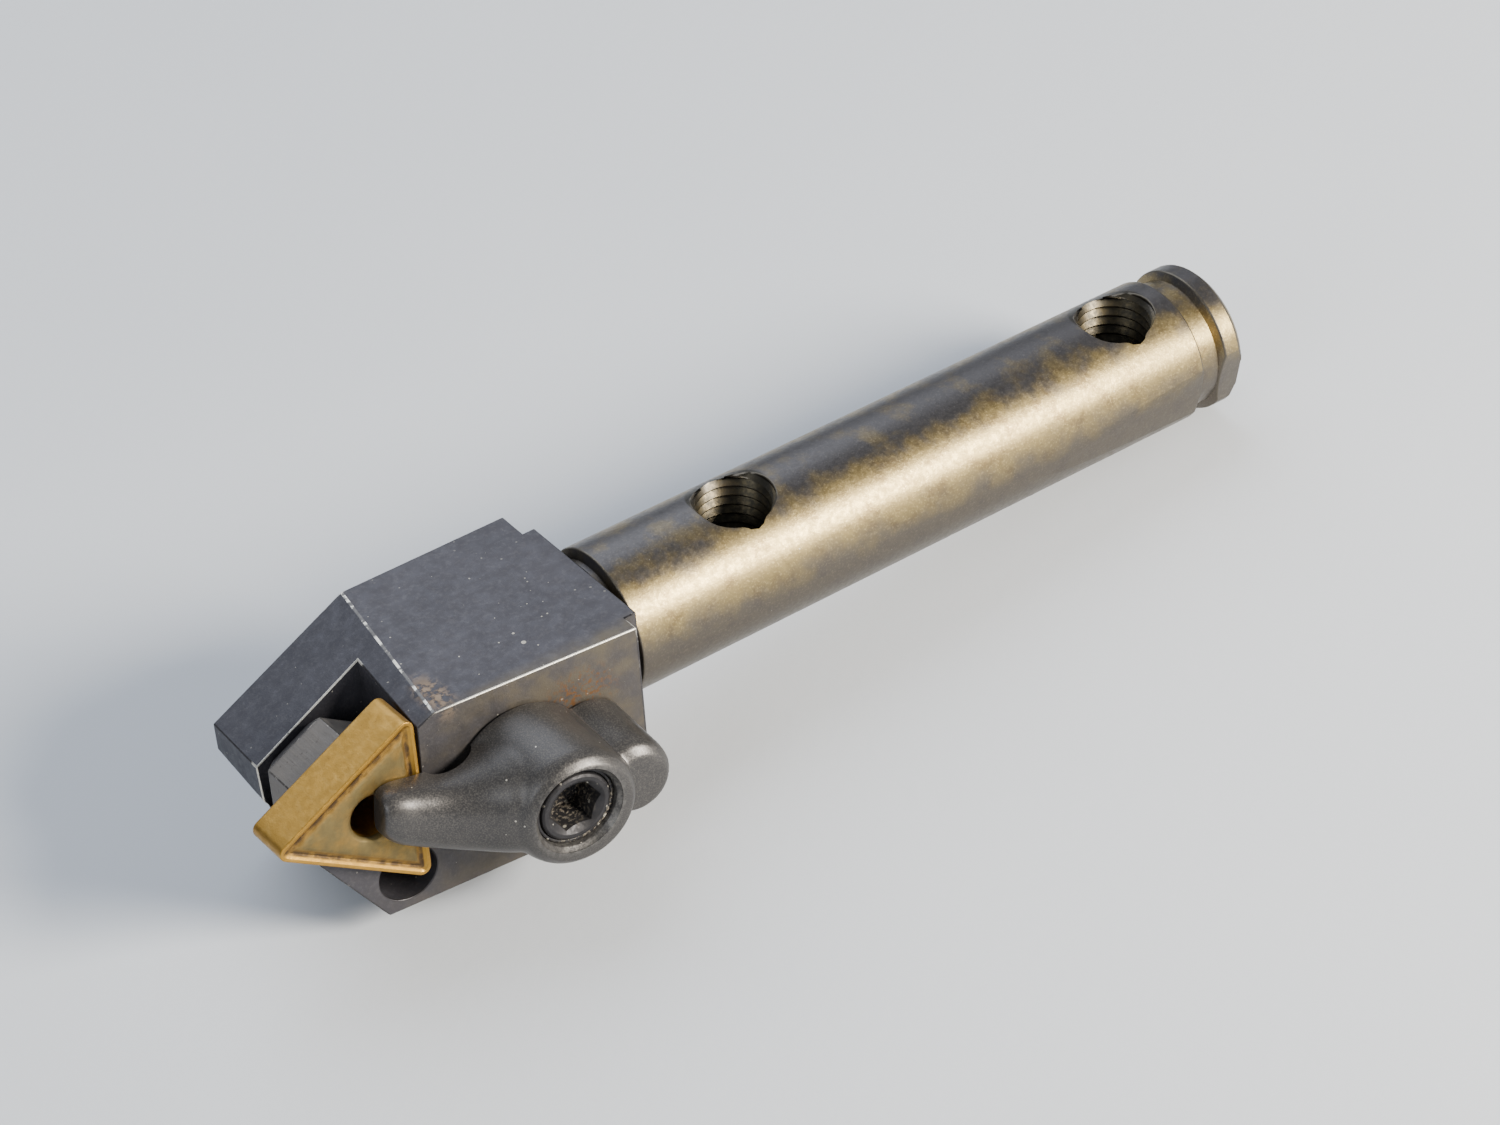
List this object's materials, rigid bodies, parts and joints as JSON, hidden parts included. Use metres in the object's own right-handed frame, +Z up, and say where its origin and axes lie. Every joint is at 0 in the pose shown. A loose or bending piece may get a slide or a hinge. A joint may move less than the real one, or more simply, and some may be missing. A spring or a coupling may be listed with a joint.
{
  "type": "indexable turning tool holder",
  "caption": "Round-shank indexable tool holder: a triangular insert on a shim in a bevelled square head, held by a forged top clamp and socket screw.",
  "frame": {"origin": "centre of the flat end of the shank, on the shank's axis", "axes": "+X along the shank's axis, out of its flat end and away from the insert; +Z up, out of the head's flat top; the insert's rake face and the clamp look along -Y"},
  "size_m": [0.106, 0.0285, 0.02],
  "materials": {
    "holder_steel": "blackened and ground steel, with bronze-tinted wear on the shank",
    "insert_coating": "gold nitride coating over carbide, stained",
    "shim_steel": "dull grey-brown ground carbide",
    "shim_screw_steel": "black oxide",
    "clamp_steel": "forged and black-oxided, rubbed satin on the ridges",
    "clamp_screw_steel": "black oxide, dusty",
    "ring_steel": "black spring steel"
  },
  "bodies": {
    "holder": {"tool_holder": "holder_steel", "shim": "shim_steel", "shim_screw": "shim_screw_steel"},
    "insert": {"insert": "insert_coating"},
    "lift": {"retaining_ring": "ring_steel"},
    "clamp": {"clamp": "clamp_steel"},
    "screw": {"clamp_screw": "clamp_screw_steel"}
  },
  "joints": [
    {"name": "clamp_lift", "type": "slide", "parent": "holder", "child": "lift", "axis": [-0.0797, -0.9968, 0], "range_m": [0, 0.006]},
    {"name": "screw_turn", "type": "hinge", "parent": "lift", "child": "screw", "pos_m": [-0.0821, -0.00871, -0.0027], "axis": [-0.0797, -0.9968, 0], "range_deg": [0, 2160]},
    {"name": "clamp_swing", "type": "hinge", "parent": "lift", "child": "clamp", "pos_m": [-0.0821, -0.00871, -0.0027], "axis": [-0.0797, -0.9968, 0], "range_deg": [-90, 0]},
    {"name": "insert_out", "type": "slide", "parent": "holder", "child": "insert", "axis": [-0.8377, 0.0621, 0.5426], "range_m": [0, 0.014]}
  ],
  "couplings": [
    {"joint": "screw_turn", "follows": "clamp_lift", "rad_per_m": 6283.1}
  ]
}
